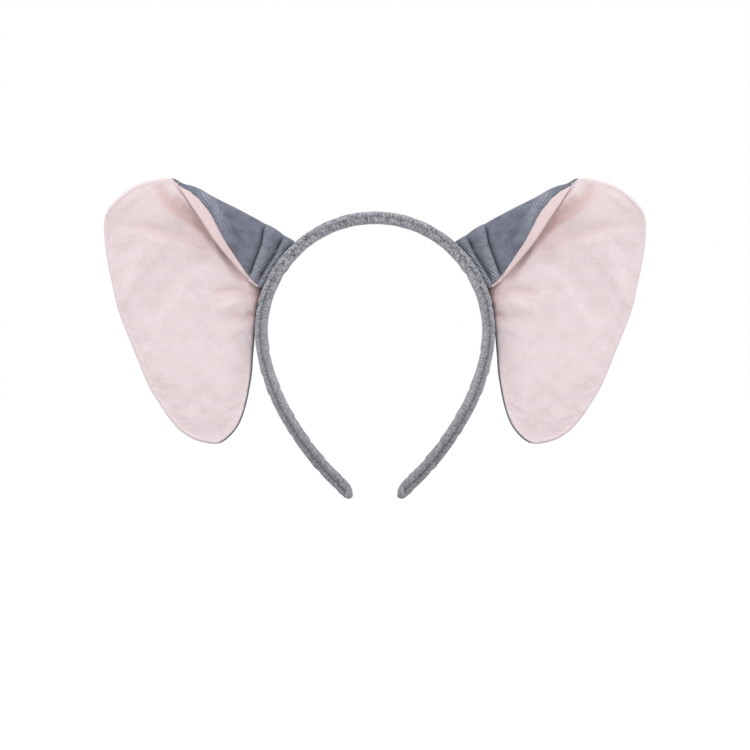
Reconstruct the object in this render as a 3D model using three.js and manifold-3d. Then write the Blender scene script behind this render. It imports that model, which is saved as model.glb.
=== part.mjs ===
// Animal-ears headband: a sprung alice band covered in grey velour, with two large floppy
// ears that have a pink plush face and a folded, pleated base sewn to the band.
//
// Millimetres, +Z up. The wearer faces -Y, and the wearer's left is +X. The origin is the
// middle of the band's inner face, where it rests on top of the head.
import * as THREE from "three";
import { mergeVertices } from "three/addons/utils/BufferGeometryUtils.js";
import Module from "manifold-3d";

const wasm = await Module();
wasm.setup();

// ---------------------------------------------------------------- driving dimensions
const INNER_RADIUS = 59; // of the crown's inner face
const BAND_THICKNESS = 7; // radial, cover and lining included
const BAND_WIDTH = 14; // front to back
const CROWN_HALF_TURN = 100; // degrees of the crown circle on each side of the top
const SIDE_RADIUS = 105; // centre-line radius below the crown circle
const SIDE_TURN = 17;
const LOWER_RADIUS = 160; // centre-line radius of the nearly straight end
const LOWER_TURN = 23;

const FLEX_ANGLE = 22; // degrees from the top to each flex hinge
const FLEX_GAP = 0.52; // between the crown's and the arm's end faces

const CLOTH = 1.1; // velour with its pile
const LAYER_GAP = 0.25; // between pieces that lie on each other
const SEAM_GAP = 0.3; // between the cover's and the lining's edges, half way up the rim
const EDGE_RADIUS = 2.9; // of the band's rounded rims
const CORE_WIDTH = 10;
const CORE_THICKNESS = 2;
const CORE_ROUNDING = 0.9;
const FOAM_ROUNDING = 0.5;
const CORE_SETBACK = 3; // from the band's end to the core's
const CAP_LENGTH = 9; // fabric end cap, over the last stretch of the arm
const CAP_ROUNDING = 5.5; // length over which the cap's end rounds off
const CAP_END_ANGLE = 82; // degrees of that rounding, which ends in a small flat
const CAP_END_SCALE = 0.3; // of the section as the rounding closes
const SOCKET_CLEARANCE = 0.3; // between the core and the cap

const FOLD_RISE = 28.07; // degrees that the ear's top fold climbs away from the band
const FOLD_START_X = 101.75; // outer end of that fold
const FOLD_START_Z = 22.9;
const FOLD_RADIUS = 4.2; // of the sheet's middle surface, round the fold
const FOLD_END_RADIUS = 2.5; // of the same at the fold's outer end
const EAR_HALF_THICKNESS = 2.4;
const SEAM_HALF_THICKNESS = 1.1; // of the ear at its sewn edge
const EDGE_ROUNDING = 7; // width over which the ear swells from its seam
const PANEL = 0.8; // thickness of each plush panel
const PANEL_GAP = 0.2; // half the gap between the panels at the seam
const WADDING_INSET = 9;
const WADDING_GAP = 0.35; // between the wadding and each panel
const LOBE_LEAN = 7; // how far the hanging lobe's lower end comes forward
const RIM_CURL = 4; // how far its outer rim comes forward
const FLAP_TILT = 12; // degrees that the folded flap stands off the lobe
const TILT_FADES = [24, 50]; // s where the flap begins to lie down, and where it is flat

const BASE_ANGLE = 55.4; // degrees from the top to the middle of the ear's sewn base
const SWING_DISTANCE = 74; // from the hoop's centre to the ear's swing axis
const BASE_DISTANCE = 67.1; // from the hoop's centre to the base's edge
const SWING_CLEARANCE = 0.65; // between the band and the base as it turns, for the stitches

const THREAD_RADIUS = 0.2;
const STITCH_COUNT = 7;
const STITCH_SWAY = 2; // of the zigzag, front to back

// The ear's outline on its flat sheet: s runs along the fold towards the band, and t runs
// away from the fold, down the lobe, or up the flap where it is negative.
const OUTER_EDGE = [
  [60.5, -33.4],
  [52.9, -31.8],
  [41.8, -28.1],
  [27.4, -22.4],
  [12.9, -14.3],
  [5.6, -10.2],
  [0, -6.6],
  [-4.5, -3.2],
  [-9.3, 0.4],
  [-15.8, 5.6],
  [-25, 14],
  [-30.5, 25.2],
  [-33, 37],
  [-25.2, 52],
  [-12.5, 67.7],
  [1.2, 82.8],
  [27.8, 106],
  [40.4, 114.3],
  [53, 121],
  [62, 123.6],
];
const LOWER_EDGE = [
  [66.7, 51],
  [74, 67],
  [79.2, 79],
  [84.6, 97],
  [84.8, 109],
  [80.5, 119],
  [70, 123.6],
];
const EAR_ROWS = [
  -33.4, -31, -27, -21, -15, -10, -6.8, -5, -3.3, -1.7, 0, 1.7, 3.3, 5, 6.8, 10, 15, 22, 31,
  41, 51, 62, 73, 84, 94, 103, 110.5, 116, 120, 122.5, 123.6,
];
const EAR_COLUMNS = 8;

// ---------------------------------------------------------------- materials
const greyVelour = new THREE.MeshStandardMaterial({
  color: 0x82848e,
  roughness: 0.9,
  metalness: 0,
});
const pinkPlush = new THREE.MeshStandardMaterial({
  color: 0xecd9db,
  roughness: 0.95,
  metalness: 0,
});
const wadding = new THREE.MeshStandardMaterial({
  color: 0xf4f3ef,
  roughness: 1,
  metalness: 0,
});
const foam = new THREE.MeshStandardMaterial({
  color: 0xdcdcd6,
  roughness: 0.95,
  metalness: 0,
});
const plastic = new THREE.MeshStandardMaterial({
  color: 0x2c2d31,
  roughness: 0.5,
  metalness: 0,
});
const thread = new THREE.MeshStandardMaterial({
  color: 0x8f919b,
  roughness: 0.7,
  metalness: 0,
});

// ---------------------------------------------------------------- solids from rings
const degrees = THREE.MathUtils.degToRad;

// A closed solid through rings of points that all have the same count. Its caps are flat.
function loft(rings, capOutline) {
  const count = rings[0].length;
  const points = rings.flat().flatMap((p) => [p.x, p.y, p.z]);
  const faces = [];
  for (let ring = 0; ring < rings.length - 1; ring++) {
    for (let i = 0; i < count; i++) {
      const a = ring * count + i;
      const b = ring * count + ((i + 1) % count);
      faces.push(a, b, b + count, a, b + count, a + count);
    }
  }
  const last = (rings.length - 1) * count;
  const clockwise = THREE.ShapeUtils.isClockWise(capOutline);
  for (const triangle of THREE.ShapeUtils.triangulateShape(capOutline, [])) {
    const [a, b, c] = clockwise ? triangle.reverse() : triangle;
    faces.push(c, b, a, last + a, last + b, last + c);
  }
  return solidGeometry(points, faces);
}

// A closed solid between two grids of points, which are lists of rows.
function slab(upper, lower) {
  const rows = upper.length;
  const columns = upper[0].length;
  const points = [...upper.flat(), ...lower.flat()].flatMap((p) => [
    p.x,
    p.y,
    p.z,
  ]);
  const at = (row, column, below) =>
    (below ? rows * columns : 0) + row * columns + column;
  const faces = [];
  const quad = (a, b, c, d) => faces.push(a, b, c, a, c, d);
  for (let i = 0; i < rows - 1; i++) {
    for (let j = 0; j < columns - 1; j++) {
      quad(at(i, j), at(i, j + 1), at(i + 1, j + 1), at(i + 1, j));
      quad(
        at(i, j, true),
        at(i + 1, j, true),
        at(i + 1, j + 1, true),
        at(i, j + 1, true),
      );
    }
  }
  const end = rows - 1;
  const side = columns - 1;
  for (let j = 0; j < side; j++) {
    quad(at(0, j + 1), at(0, j), at(0, j, true), at(0, j + 1, true));
    quad(at(end, j), at(end, j + 1), at(end, j + 1, true), at(end, j, true));
  }
  for (let i = 0; i < end; i++) {
    quad(at(i, 0), at(i + 1, 0), at(i + 1, 0, true), at(i, 0, true));
    quad(
      at(i + 1, side),
      at(i, side),
      at(i, side, true),
      at(i + 1, side, true),
    );
  }
  return solidGeometry(points, faces);
}

// Points and faces as a geometry whose faces point out, whichever way round they were made.
function solidGeometry(points, faces) {
  let volume = 0;
  const corner = (i) => new THREE.Vector3().fromArray(points, 3 * i);
  for (let i = 0; i < faces.length; i += 3) {
    volume += corner(faces[i]).dot(
      corner(faces[i + 1]).cross(corner(faces[i + 2])),
    );
  }
  if (volume < 0) faces.reverse();
  return new THREE.BufferGeometry()
    .setAttribute("position", new THREE.Float32BufferAttribute(points, 3))
    .setIndex(faces);
}

function toManifold(geometry) {
  const bare = geometry.clone();
  bare.deleteAttribute("normal");
  bare.deleteAttribute("uv");
  const merged = mergeVertices(bare, 1e-4);
  return new wasm.Manifold(
    new wasm.Mesh({
      numProp: 3,
      vertProperties: merged.attributes.position.array,
      triVerts: new Uint32Array(merged.index.array),
    }),
  );
}

function fromManifold(solid) {
  const mesh = solid.getMesh();
  return new THREE.BufferGeometry()
    .setAttribute("position", new THREE.BufferAttribute(mesh.vertProperties, 3))
    .setIndex(new THREE.BufferAttribute(mesh.triVerts, 1));
}

// ---------------------------------------------------------------- the band
const centreRadius = INNER_RADIUS + BAND_THICKNESS / 2;
const crownLength = centreRadius * degrees(CROWN_HALF_TURN);
const sideLength = SIDE_RADIUS * degrees(SIDE_TURN);
const lowerLength = LOWER_RADIUS * degrees(LOWER_TURN);
const halfLength = crownLength + sideLength + lowerLength;

// Where the centre line is at a length from the top, on the +X side, and how far it has turned.
function hoopPoint(length) {
  const arcs = [
    [centreRadius, crownLength],
    [SIDE_RADIUS, sideLength],
    [LOWER_RADIUS, lowerLength],
  ];
  let x = 0;
  let z = BAND_THICKNESS / 2;
  let turned = 0;
  let left = length;
  for (const [radius, arcLength] of arcs) {
    const run = Math.min(left, arcLength);
    const next = turned + run / radius;
    x += radius * (Math.sin(next) - Math.sin(turned));
    z += radius * (Math.cos(next) - Math.cos(turned));
    turned = next;
    left -= run;
    if (left <= 0) break;
  }
  return { x, z, turned };
}

// The band's section, of (outward, across) points, placed square to the centre line at that length.
function bandRing(section, length, side, scale = 1) {
  const { x, z, turned } = hoopPoint(Math.abs(length));
  const direction = length < 0 ? -side : side;
  return section.map(
    ([outward, across]) =>
      new THREE.Vector3(
        direction * (x + scale * outward * Math.sin(turned)),
        scale * across,
        z + scale * outward * Math.cos(turned),
      ),
  );
}

function bandSweep(section, from, to, side, steps) {
  const rings = [];
  for (let i = 0; i <= steps; i++) {
    rings.push(bandRing(section, from + ((to - from) * i) / steps, side));
  }
  return loft(
    rings,
    section.map(([outward, across]) => new THREE.Vector2(outward, across)),
  );
}

// A quarter circle of section points round a centre, from one angle to the other.
function corner(outward, across, radius, from, to, steps = 3) {
  const points = [];
  for (let i = 0; i <= steps; i++) {
    const angle = degrees(from + ((to - from) * i) / steps);
    points.push([
      outward + radius * Math.sin(angle),
      across + radius * Math.cos(angle),
    ]);
  }
  return points;
}

const halfThickness = BAND_THICKNESS / 2;
const halfWidth = BAND_WIDTH / 2;

// The outer cover is a channel that opens inwards, and the lining is its mirror image. They
// meet half way up each rim.
function channelSection() {
  const outside = [
    ...corner(halfThickness - EDGE_RADIUS, halfWidth - EDGE_RADIUS, EDGE_RADIUS, 0, 90),
    ...corner(halfThickness - EDGE_RADIUS, EDGE_RADIUS - halfWidth, EDGE_RADIUS, 90, 180),
  ];
  const inner = EDGE_RADIUS - CLOTH;
  const inside = [
    ...corner(halfThickness - EDGE_RADIUS, EDGE_RADIUS - halfWidth, inner, 180, 90),
    ...corner(halfThickness - EDGE_RADIUS, halfWidth - EDGE_RADIUS, inner, 90, 0),
  ];
  const lip = SEAM_GAP / 2;
  return [
    [lip, halfWidth],
    ...outside,
    [lip, -halfWidth],
    [lip, CLOTH - halfWidth],
    ...inside,
    [lip, halfWidth - CLOTH],
  ];
}

function blockSection(low, high, width, radius, steps = 2) {
  const y = width / 2 - radius;
  return [
    ...corner(high - radius, y, radius, 0, 90, steps),
    ...corner(high - radius, -y, radius, 90, 180, steps),
    ...corner(low + radius, -y, radius, 180, 270, steps),
    ...corner(low + radius, y, radius, 270, 360, steps),
  ];
}

const coverSection = channelSection();
const liningSection = coverSection.map(([outward, across]) => [
  -outward,
  across,
]);
const coreLow = CLOTH + LAYER_GAP - halfThickness;
const coreHigh = coreLow + CORE_THICKNESS;
const coreSection = blockSection(coreLow, coreHigh, CORE_WIDTH, CORE_ROUNDING);
const foamHigh = halfThickness - CLOTH - LAYER_GAP;
const foamSection = blockSection(coreHigh + LAYER_GAP, foamHigh, CORE_WIDTH, FOAM_ROUNDING);
const capSection = blockSection(-halfThickness, halfThickness, BAND_WIDTH, EDGE_RADIUS, 3);

const flexLength = centreRadius * degrees(FLEX_ANGLE);
const crownEnd = flexLength - FLEX_GAP / 2;
const armStart = flexLength + FLEX_GAP / 2;
const coverEnd = halfLength - CAP_LENGTH - SEAM_GAP;
const coreEnd = halfLength - CORE_SETBACK;

// The fabric cap over the arm's end: a rounded cup that the core's end sits in.
function tipCap(side) {
  const start = halfLength - CAP_LENGTH;
  const steps = 8;
  const outer = [bandRing(capSection, start, side)];
  for (let i = 0; i <= steps; i++) {
    const angle = degrees((i * CAP_END_ANGLE) / steps);
    const length = halfLength - CAP_ROUNDING * (1 - Math.sin(angle));
    const scale = CAP_END_SCALE + (1 - CAP_END_SCALE) * Math.cos(angle);
    outer.push(bandRing(capSection, length, side, scale));
  }
  const outline = capSection.map(([a, b]) => new THREE.Vector2(a, b));
  const pocket = blockSection(
    coreLow - SOCKET_CLEARANCE,
    coreHigh + SOCKET_CLEARANCE,
    CORE_WIDTH + 2 * SOCKET_CLEARANCE,
    CORE_ROUNDING,
  );
  const socket = bandSweep(pocket, start - 1, coreEnd + SOCKET_CLEARANCE, side, 4);
  return fromManifold(toManifold(loft(outer, outline)).subtract(toManifold(socket)));
}

// ---------------------------------------------------------------- the ears
const foldDown = degrees(FOLD_RISE);
const { smoothstep, lerp, clamp } = THREE.MathUtils;

// The hoop's centre and the radial direction to the middle of the ear's base, in (s, q):
// along the fold, and straight down from it in the ear's plane.
const hoopS = FOLD_START_X * Math.cos(foldDown) + (FOLD_START_Z + INNER_RADIUS) * Math.sin(foldDown);
const hoopQ = (FOLD_START_Z + INNER_RADIUS) * Math.cos(foldDown) - FOLD_START_X * Math.sin(foldDown);
const outwardS = -Math.sin(degrees(BASE_ANGLE) + foldDown);
const outwardQ = -Math.cos(degrees(BASE_ANGLE) + foldDown);
const outerRadius = INNER_RADIUS + BAND_THICKNESS;

// The room to each side of the ear's middle plane in which it can turn clear of the band.
function swingRoom(s, q) {
  const past = SWING_DISTANCE - (s - hoopS) * outwardS - (q - hoopQ) * outwardQ;
  if (past <= 0) return 2 * (FOLD_RADIUS + EAR_HALF_THICKNESS);
  const station = (s - hoopS) * outwardQ - (q - hoopQ) * outwardS;
  const surface = Math.sqrt(Math.max(0, outerRadius ** 2 - station ** 2));
  const reach = SWING_DISTANCE - surface - SWING_CLEARANCE;
  return Math.sqrt(Math.max(0, reach ** 2 - past ** 2));
}

// An edge's s at a given t, smoothly between its [s, t] points.
function edgeAt(points, t) {
  const last = points.length - 1;
  let i = 0;
  while (i < last - 1 && points[i + 1][1] < t) i++;
  const slope = (k) => {
    const [a, b] = [points[Math.max(0, k - 1)], points[Math.min(last, k + 1)]];
    return (b[0] - a[0]) / (b[1] - a[1]);
  };
  const width = points[i + 1][1] - points[i][1];
  const u = (t - points[i][1]) / width;
  return (
    points[i][0] * (1 + 2 * u) * (1 - u) ** 2 +
    points[i + 1][0] * u * u * (3 - 2 * u) +
    slope(i) * width * u * (1 - u) ** 2 -
    slope(i + 1) * width * u * u * (1 - u)
  );
}

// The edge towards the band: an arc round the hoop, then the free edge below it.
function innerEdgeAt(t) {
  if (t >= LOWER_EDGE[0][1]) return edgeAt(LOWER_EDGE, t);
  return hoopS - Math.sqrt(BASE_DISTANCE ** 2 - (Math.abs(t) - hoopQ) ** 2);
}

// The sheet's middle surface with its unit normal on the grey side. The sheet turns round
// the fold, then runs down each way: the flap in front and the lobe behind.
function sheetPoint(s, t, half, room) {
  const flap = t < 0;
  const radius = lerp(FOLD_END_RADIUS, FOLD_RADIUS, smoothstep(s, -5, 20));
  const depth = clamp(room - half, SEAM_HALF_THICKNESS + 0.25, radius);
  const free = clamp((depth - 2) / 2, 0, 1) * (1 - smoothstep(s, ...TILT_FADES));
  const arcEnd = Math.PI / 2 - (flap ? degrees(FLAP_TILT) * free : 0);
  const turn = Math.min(Math.abs(t) / radius, arcEnd);
  const run = Math.max(0, Math.abs(t) - arcEnd * radius);
  const q = EAR_HALF_THICKNESS + radius * (1 - Math.cos(turn)) + run * Math.sin(turn);
  const away = depth * Math.sin(turn) + run * Math.cos(arcEnd);
  const lean = LOBE_LEAN * smoothstep(t, 20, 124);
  const rim = clamp(1 - (s + 33) / 30, 0, 1) ** 2;
  const curl = RIM_CURL * rim * smoothstep(t, 4, 30);
  const normal = new THREE.Vector2(-Math.cos(turn) / radius, Math.sin(turn) / depth).normalize();
  return {
    q,
    y: flap ? -away : away - lean - curl,
    normalQ: normal.x,
    normalY: flap ? -normal.y : normal.y,
  };
}

// The ear's half thickness at a distance from its sewn edge, where it has that much room.
function halfThicknessAt(distance, room) {
  const share = clamp(distance / EDGE_ROUNDING, 0, 1);
  const swell = Math.sqrt(1 - (1 - share) ** 2);
  const full = clamp(room / 2 - 0.15, SEAM_HALF_THICKNESS, EAR_HALF_THICKNESS);
  return lerp(SEAM_HALF_THICKNESS, full, swell);
}

// A grid over the sheet's rows, inset from its side edges. lift(half) gives the height off
// the middle surface, on the grey side, from the ear's half thickness there.
function earGrid(side, rows, inset, lift) {
  const along = new THREE.Vector3(-side * Math.cos(foldDown), 0, -Math.sin(foldDown));
  const down = new THREE.Vector3(side * Math.sin(foldDown), 0, -Math.cos(foldDown));
  const start = new THREE.Vector3(side * FOLD_START_X, 0, FOLD_START_Z);
  const lastRow = EAR_ROWS[EAR_ROWS.length - 1];
  return rows.map((t) => {
    const outer = edgeAt(OUTER_EDGE, t);
    const inner = innerEdgeAt(t);
    const row = [];
    for (let j = 0; j <= EAR_COLUMNS; j++) {
      const even = j / EAR_COLUMNS;
      const spread = lerp(even, 0.5 - 0.5 * Math.cos(Math.PI * even), 0.6);
      const s = lerp(outer + inset, inner - inset, spread);
      const room = swingRoom(s, Math.abs(t));
      const toBand = t < LOWER_EDGE[0][1] ? Infinity : inner - s;
      const toEnd = 0.8 * Math.min(t - EAR_ROWS[0], lastRow - t);
      const half = halfThicknessAt(Math.min(0.85 * (s - outer), toBand, toEnd), room);
      const p = sheetPoint(s, t, half, room);
      const height = lift(half);
      row.push(
        start
          .clone()
          .addScaledVector(along, s)
          .addScaledVector(down, p.q + height * p.normalQ)
          .add(new THREE.Vector3(0, p.y + height * p.normalY, 0)),
      );
    }
    return row;
  });
}

function earPanel(side, sign) {
  return slab(
    earGrid(side, EAR_ROWS, 0, (half) => sign * half),
    earGrid(side, EAR_ROWS, 0, (half) => sign * Math.max(PANEL_GAP, half - PANEL)),
  );
}

function earWadding(side) {
  const filled = (half) => Math.max(0.1, half - PANEL - WADDING_GAP);
  const rows = EAR_ROWS.filter((t) => t > -28 && t < 118);
  return slab(
    earGrid(side, rows, WADDING_INSET, filled),
    earGrid(side, rows, WADDING_INSET, (half) => -filled(half)),
  );
}

// The thread that sews an ear's base to the band: a zigzag along the band's outer face.
class BaseStitch extends THREE.Curve {
  constructor(side) {
    super();
    this.side = side;
  }

  getPoint(share, target = new THREE.Vector3()) {
    const angle = degrees(lerp(46, 68, share));
    const radius = outerRadius + THREAD_RADIUS + 0.1;
    return target.set(
      this.side * radius * Math.sin(angle),
      STITCH_SWAY * Math.cos(share * Math.PI * STITCH_COUNT),
      radius * Math.cos(angle) - INNER_RADIUS,
    );
  }
}

function baseStitches(side) {
  const section = new THREE.Shape();
  section.absarc(0, 0, THREAD_RADIUS, 0, 2 * Math.PI);
  return new THREE.ExtrudeGeometry(section, {
    steps: STITCH_COUNT * 6,
    curveSegments: 3,
    bevelEnabled: false,
    extrudePath: new BaseStitch(side),
  });
}

// ---------------------------------------------------------------- assembly
const headband = new THREE.Group();

function add(parent, name, geometry, material) {
  const mesh = new THREE.Mesh(geometry, material);
  mesh.name = name;
  parent.add(mesh);
}

const crown = new THREE.Group();
headband.add(crown);
const CROWN_STEPS = 11; // odd, so that one flat facet is centred on the top
add(crown, "crown_cover", bandSweep(coverSection, -crownEnd, crownEnd, 1, CROWN_STEPS), greyVelour);
add(crown, "crown_lining", bandSweep(liningSection, -crownEnd, crownEnd, 1, CROWN_STEPS), greyVelour);
add(crown, "crown_core", bandSweep(coreSection, -crownEnd, crownEnd, 1, CROWN_STEPS), plastic);
add(crown, "crown_foam", bandSweep(foamSection, -crownEnd, crownEnd, 1, CROWN_STEPS), foam);

for (const [name, side] of [
  ["left", 1],
  ["right", -1],
]) {
  const ARM_STEPS = 20;
  const arm = new THREE.Group();
  headband.add(arm);
  add(arm, `${name}_arm_cover`, bandSweep(coverSection, armStart, coverEnd, side, ARM_STEPS), greyVelour);
  add(arm, `${name}_arm_lining`, bandSweep(liningSection, armStart, coverEnd, side, ARM_STEPS), greyVelour);
  add(arm, `${name}_arm_core`, bandSweep(coreSection, armStart, coreEnd, side, ARM_STEPS), plastic);
  add(arm, `${name}_arm_foam`, bandSweep(foamSection, armStart, coverEnd, side, ARM_STEPS), foam);
  add(arm, `${name}_tip_cap`, tipCap(side), greyVelour);
  add(arm, `${name}_base_stitches`, baseStitches(side), thread);

  const ear = new THREE.Group();
  arm.add(ear);
  add(ear, `${name}_ear_back`, earPanel(side, 1), greyVelour);
  add(ear, `${name}_ear_front`, earPanel(side, -1), pinkPlush);
  add(ear, `${name}_ear_wadding`, earWadding(side), wadding);
}

export default headband;
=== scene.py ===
"""Animal-ears headband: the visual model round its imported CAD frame.

Everything is in metres in the CAD's frame. The origin is the middle of the crown's inner
face, +Z is up, and the wearer looks along -Y, so the wearer's left is +X.
"""
import copy
import math

import bmesh
import bpy
import numpy as np
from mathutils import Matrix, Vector, noise
from mathutils.geometry import delaunay_2d_cdt


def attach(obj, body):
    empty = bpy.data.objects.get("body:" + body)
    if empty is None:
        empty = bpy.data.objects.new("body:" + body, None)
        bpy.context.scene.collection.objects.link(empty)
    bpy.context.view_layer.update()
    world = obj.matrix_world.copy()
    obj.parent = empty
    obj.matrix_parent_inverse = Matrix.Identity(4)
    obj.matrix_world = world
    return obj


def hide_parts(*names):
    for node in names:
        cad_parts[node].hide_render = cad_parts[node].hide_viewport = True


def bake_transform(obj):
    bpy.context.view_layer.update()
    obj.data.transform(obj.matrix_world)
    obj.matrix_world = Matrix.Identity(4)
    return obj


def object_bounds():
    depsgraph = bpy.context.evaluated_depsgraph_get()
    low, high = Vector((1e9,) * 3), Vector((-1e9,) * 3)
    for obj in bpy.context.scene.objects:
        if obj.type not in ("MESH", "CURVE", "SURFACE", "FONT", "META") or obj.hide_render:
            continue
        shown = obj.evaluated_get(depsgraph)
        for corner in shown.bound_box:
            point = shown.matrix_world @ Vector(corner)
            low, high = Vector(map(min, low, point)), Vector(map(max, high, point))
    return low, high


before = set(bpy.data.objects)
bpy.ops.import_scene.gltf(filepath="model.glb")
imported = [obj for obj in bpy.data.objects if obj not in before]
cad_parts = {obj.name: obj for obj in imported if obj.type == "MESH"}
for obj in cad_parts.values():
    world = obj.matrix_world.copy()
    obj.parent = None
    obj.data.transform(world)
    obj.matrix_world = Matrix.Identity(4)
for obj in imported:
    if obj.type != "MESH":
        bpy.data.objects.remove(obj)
cad_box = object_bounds()

MM = 0.001
SIDES = {"left": 1, "right": -1}

# ---- driving dimensions, mm
# The hoop, as in the CAD: a crown circle, then two slacker arcs down each side. Each one has its
# centre line's radius and how far it turns, in degrees.
INNER_RADIUS = 59.0
CENTRE_RADIUS = 62.5
HOOP = [(CENTRE_RADIUS, 100), (105.0, 17), (160.0, 23)]
BAND_WIDTH = 14.0
CROWN_THICKNESS = 6.4
SIDE_THICKNESS = 6.9
LOWER_THICKNESS = 7.3
RIM_RADIUS = 2.7
CLOTH = 1.1
LAYER_GAP = 0.2  # between the cover, the foam, the core and the lining
LAYER_WIDTH = 10.0
CORE_THICKNESS = 2.0
LAYER_END = 0.6  # how far the core and the foam stop short of the turned end
BAND_RINGS = 191
STRIP_RINGS = 90
LIP_RADIUS = 0.12  # of the cover's and lining's turned edges, along the rim seams
LIP_STEPS = 7
SEAM_GAP = 0.015  # between each of them and the seam
EDGE_GROOVE = 2.3  # how far out a long crease runs along the arms' lower ends
SEAM_OFFSET = 0.5  # of that seam from the middle of the rim, outwards
CAP_OUTER_LENGTH = 3.4  # the turned end's reach on the band's outer face
CAP_INNER_LENGTH = 6.6  # and on its inner face
CAP_RINGS = 16
CAP_STRAIGHT = 0.4  # the share of its length that keeps the band's full width
CAP_END_WIDTH = 0.55  # the share of that width at the very end
# The share of its height that the band's outer and inner skin keep, by mm from the tip.
TIP_OUTER = [
    (-13, 1), (-9.5, 0.95), (-7, 1.09), (-4.1, 1.04), (-2.6, 0.99), (-1.5, 0.88), (-0.7, 0.74),
    (-0.2, 0.58), (0, 0.42),
]
TIP_INNER = [
    (-18, 1), (-15.4, 0.95), (-13.6, 1.01), (-11.2, 1.09), (-7.8, 0.99), (-4.3, 0.79), (-2.4, 0.56),
    (-0.9, 0.16), (-0.3, -0.06), (0, -0.2),
]
# The rim seams' stitches: how far along each step lies, how far out, and how far it sinks in.
STITCH_STEP = 3.6
RIM_STITCH = [(0, 0.75, 0.08), (0.35, 0.3, 0), (0.75, -0.3, 0), (1.1, -0.75, 0.08)]
RIM_SLANT = (0.5, 0.25, 2.3)
FIRST_STITCH = 2.0  # from the top
LAST_STITCH = 9  # from the tip
RIM_THREAD = 0.11
# The hand stitches at each ear's base, from the band to the ear: how far along each step lies, its
# distance from the hoop's centre, and its distance from the middle of the band's width.
BASE_STITCHES = 11
BASE_STITCH_ARC = (43, 69)  # degrees from the top
BASE_STITCH = [(-0.5, 66.6, 2.6), (-0.2, 66.3, 3.0), (0.2, 66.0, 3.5), (0.5, 65.8, 3.9)]
BASE_SLANT = (1.1, 0.4, 1.7)  # degrees
BASE_THREAD = 0.14

# The ears, on their flat sheet: s runs along the top fold towards the band, and t runs away
# from the fold, down the lobe, or up the folded flap where it is negative.
FOLD_RISE = 28.07  # degrees, of the top fold
FOLD_START_X = 101.25
FOLD_START_Z = 22.9
FOLD_RADIUS = 4.0
FOLD_END_RADIUS = 2.4  # at its outer end
BASE_DISTANCE = 65.7  # from the hoop's centre to the base's edge
EAR_HALF_THICKNESS = 2.5
EDGE_RADIUS = 1.8
FLAP_EDGE_RADIUS = 1.15
PANEL = 0.7
WADDING_INSET = 2.6  # of the wadding from the ear's edge
WADDING_GAP = 0.35  # between it and each panel
LOBE_LEAN = 7.0  # how far the lobe's lower end stands forward
RIM_CURL = 4.0
TUCK = 2.6  # how far the lobe's edge turns back beside the band
FLAP_TILT = 12.0  # degrees by which the flap's outer part lifts off the lobe
RIB_SPACING = 1.35  # of the crushed ribs along the flap's outer ridge
STROKE_SPACING = 1.25  # of the short ribs across its pleats
PINK_SPAN = 60.0  # the outline's s up to which pink wraps the edge; beyond it grey shows in front
# How far the pink face wraps round the flap's free edge, by s: negative where the grey shows
# in front instead, along the top of the rim.
HEM = [
    (-20, 0.9), (-11, 0.7), (-9, -0.5), (-7.5, -0.9), (-6, -0.4), (-4.5, 0.8), (0, 3.5), (5.6, 5.8),
    (12.9, 6.2), (20, 5.6), (27.4, 4.8), (41.8, 2.9), (52.9, 1.7), (60, 1.0),
]
SEAM_INSET = 1.0  # of the seam from the ear's edge round the rest of the lobe
INNER_HEM = -0.85  # the same beside the band, below the base
BASE_HEM = -0.6  # and along the base
# The ear's outline, from the flap's lower end up its free edge, round the lobe to the base.
OUTLINE = [
    (60.5, -33.4), (52.9, -32.2), (41.8, -28.1), (27.4, -22.4), (12.9, -14.3), (5.6, -10.2),
    (0, -6.6), (-4.5, -3.2), (-9.3, 0.4), (-16.2, 5.0), (-25.4, 13.4), (-31.2, 24.8),
    (-32.8, 37), (-25.0, 52), (-12.5, 67.7), (1.2, 82.8), (27.8, 106), (40.4, 114.4),
    (53, 120.9), (62, 123.4), (70.6, 123.2), (81.1, 119.2), (85.6, 109.3), (85.3, 97),
    (79.9, 78.8), (74.6, 66.8), (67.6, 51),
]
INNER_EDGE = OUTLINE[-1:-5:-1]  # from the base's lower end downwards
BASE_BOTTOM = 51.0
FLAP_REACH = 33.4  # from the fold to the flap's lower end
# A soft ridge and valley across the flap, as (s, -t).
OUTER_RIDGE = [(8.4, 1.6), (17, 5.2), (22.5, 9.1), (28.6, 13.6), (36, 19)]
OUTER_VALLEY = [(13, 0.2), (19, 2), (25, 5.5), (31, 10.5), (37, 15.5)]
PLEAT_FLOOR = -1.7  # the level of the pleats' creases, against the flap's flat part
PLEAT_HEIGHTS = (7.2, 6.6)  # of the outer and the inner pleat
PLEAT_FALL = 2.0  # how fast the flat part falls to the first crease
PLEAT_LEAN = 1.3  # how far the outer pleat leans over
CREASE_CUTS = [(0.7, 0.8), (0.6, 0.9)]  # how deep and how wide the two creases are cut
RIDGE_RISE = 1.2
VALLEY_DEPTH = 1.0
RIDGE_WIDTH = 2.0
OVER_FOLD = 0.14  # the share of the relief that reaches over the fold
FLOOR_GAP = 0.4
# The two pleats' creases on the flap: (distance from the fold, s).
CREASES = [
    [(0, 46.4), (2, 46.9), (6, 48.6), (10, 50.0), (16, 51.0), (22, 51.9), (27, 52.6), (33.4, 54.0)],
    [(0, 58.4), (6, 59.2), (14, 59.9), (20, 59.4), (28, 58.8), (33.4, 58.6)],
]

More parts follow.
